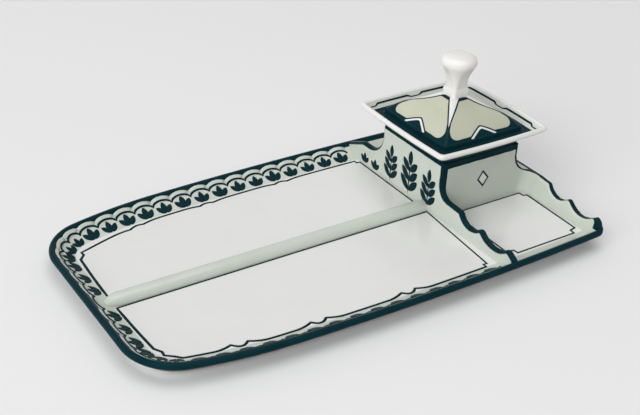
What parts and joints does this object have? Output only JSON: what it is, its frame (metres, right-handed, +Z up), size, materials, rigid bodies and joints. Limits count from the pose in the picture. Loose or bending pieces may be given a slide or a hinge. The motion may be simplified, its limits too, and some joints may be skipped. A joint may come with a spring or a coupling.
{
  "type": "inkstand with pen tray",
  "caption": "Glazed porcelain desk inkstand: a long pen tray with a ridge, wave-edged pen rests and a square ink tower holding a lift-out pot under a pagoda lid.",
  "frame": {"origin": "middle of the foot rim's resting plane, under the centre of the overall box", "axes": "+X along the tray towards the ink tower's end, +Y towards the back, +Z up"},
  "size_m": [0.2988, 0.1726, 0.097],
  "materials": {
    "tray_glaze": "gloss",
    "pot_glaze": "gloss",
    "lid_glaze": "gloss",
    "knob_glaze": "gloss"
  },
  "bodies": {
    "tray": {"tray_dish": "tray_glaze", "divider_ridge": "tray_glaze", "inner_wave_wall": "tray_glaze", "outer_wave_wall": "tray_glaze", "tower_front_wall": "tray_glaze", "tower_back_wall": "tray_glaze"},
    "pot": {"ink_pot": "pot_glaze"},
    "lid": {"lid": "lid_glaze", "lid_knob": "knob_glaze"}
  },
  "joints": [
    {"name": "pot_lift", "type": "slide", "parent": "tray", "child": "pot", "axis": [0, 0, 1], "range_m": [0, 0.05]},
    {"name": "lid_lift", "type": "slide", "parent": "pot", "child": "lid", "axis": [0, 0, 1], "range_m": [0, 0.06]}
  ]
}
